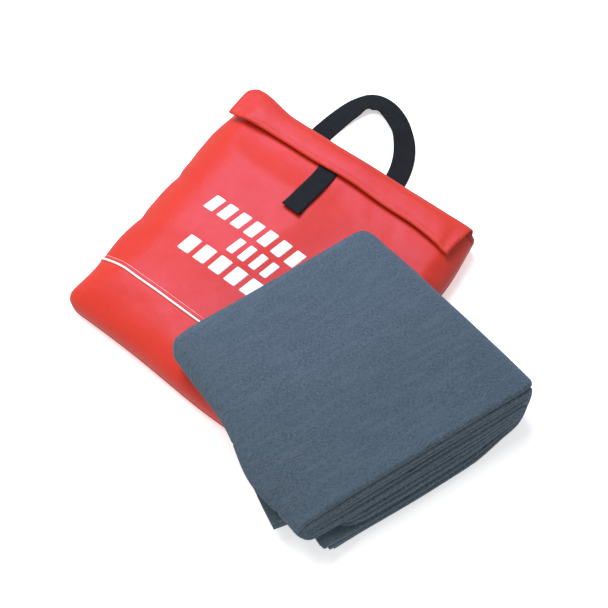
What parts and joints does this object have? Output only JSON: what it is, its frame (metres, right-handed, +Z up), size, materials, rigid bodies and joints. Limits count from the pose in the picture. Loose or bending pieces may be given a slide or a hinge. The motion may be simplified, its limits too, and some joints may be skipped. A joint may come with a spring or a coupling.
{
  "type": "fire blanket with carrying bag",
  "caption": "Folded felted wool fire blanket lying across its flat carrying bag, with a fold-over flap, hook-and-loop closure tab and webbing handle.",
  "frame": {"origin": "middle of the bag's back panel, on its outer face, on the surface that the kit lies on", "axes": "+Z up out of the bag's front, +Y along the bag from its bottom seam to its flap and handle, +X across the bag with its front facing up"},
  "size_m": [0.6672, 0.7248, 0.1383],
  "materials": {
    "coated_fabric": "glossy polyurethane coat over a plain weave, orange-red",
    "binding_tape": "matt ribbed tape, dark red",
    "white_piping": "smooth, satin",
    "white_thread": "twisted polyester, satin",
    "red_thread": "twisted polyester, satin",
    "black_thread": "twisted polyester, satin",
    "white_print": "screen print, satin",
    "hook_and_loop": "matt nylon pile",
    "black_webbing": "matt woven nylon",
    "felted_wool": "matt brushed felt, slate blue-grey"
  },
  "bodies": {
    "bag": {"back_panel": "coated_fabric", "front_panel": "coated_fabric", "front_lower_panel": "coated_fabric", "seam_binding": "binding_tape", "mouth_binding": "binding_tape", "mouth_thread": "red_thread", "piping_bead": "white_piping", "piping_thread": "white_thread", "front_print": "white_print", "loop_patch": "hook_and_loop", "loop_patch_thread": "black_thread", "top_seam": "binding_tape", "handle_tail_left": "black_webbing", "handle_tail_right": "black_webbing", "handle_tail_thread": "black_thread"},
    "handle": {"handle_loop": "black_webbing"},
    "spine": {"flap_spine": "coated_fabric"},
    "flap": {"flap": "coated_fabric", "flap_hem": "coated_fabric", "flap_hem_thread": "red_thread", "tab_root": "black_webbing"},
    "tab": {"closure_tab": "black_webbing", "hook_patch": "hook_and_loop", "hook_patch_thread": "black_thread"},
    "blanket": {"blanket_lower_half": "felted_wool", "blanket_upper_half": "felted_wool"}
  },
  "joints": [
    {"name": "spine_fold", "type": "hinge", "parent": "bag", "child": "spine", "pos_m": [0, 0.238, 0.0045], "axis": [-1, 0, 0], "range_deg": [0, 72]},
    {"name": "flap_fold", "type": "hinge", "parent": "spine", "child": "flap", "pos_m": [0, 0.238, 0.0645], "axis": [-1, 0, 0], "range_deg": [0, 90]},
    {"name": "tab_peel", "type": "hinge", "parent": "flap", "child": "tab", "pos_m": [-0.025, 0.175, 0.0645], "axis": [-1, 0, 0], "range_deg": [0, 124]},
    {"name": "handle_swing", "type": "hinge", "parent": "bag", "child": "handle", "pos_m": [-0.023, 0.241, 0.0012], "axis": [-1, 0, 0], "range_deg": [-80, 0]},
    {"name": "blanket_lift", "type": "slide", "parent": "bag", "child": "blanket", "axis": [0, 0, 1], "range_m": [0, 0.3]}
  ]
}
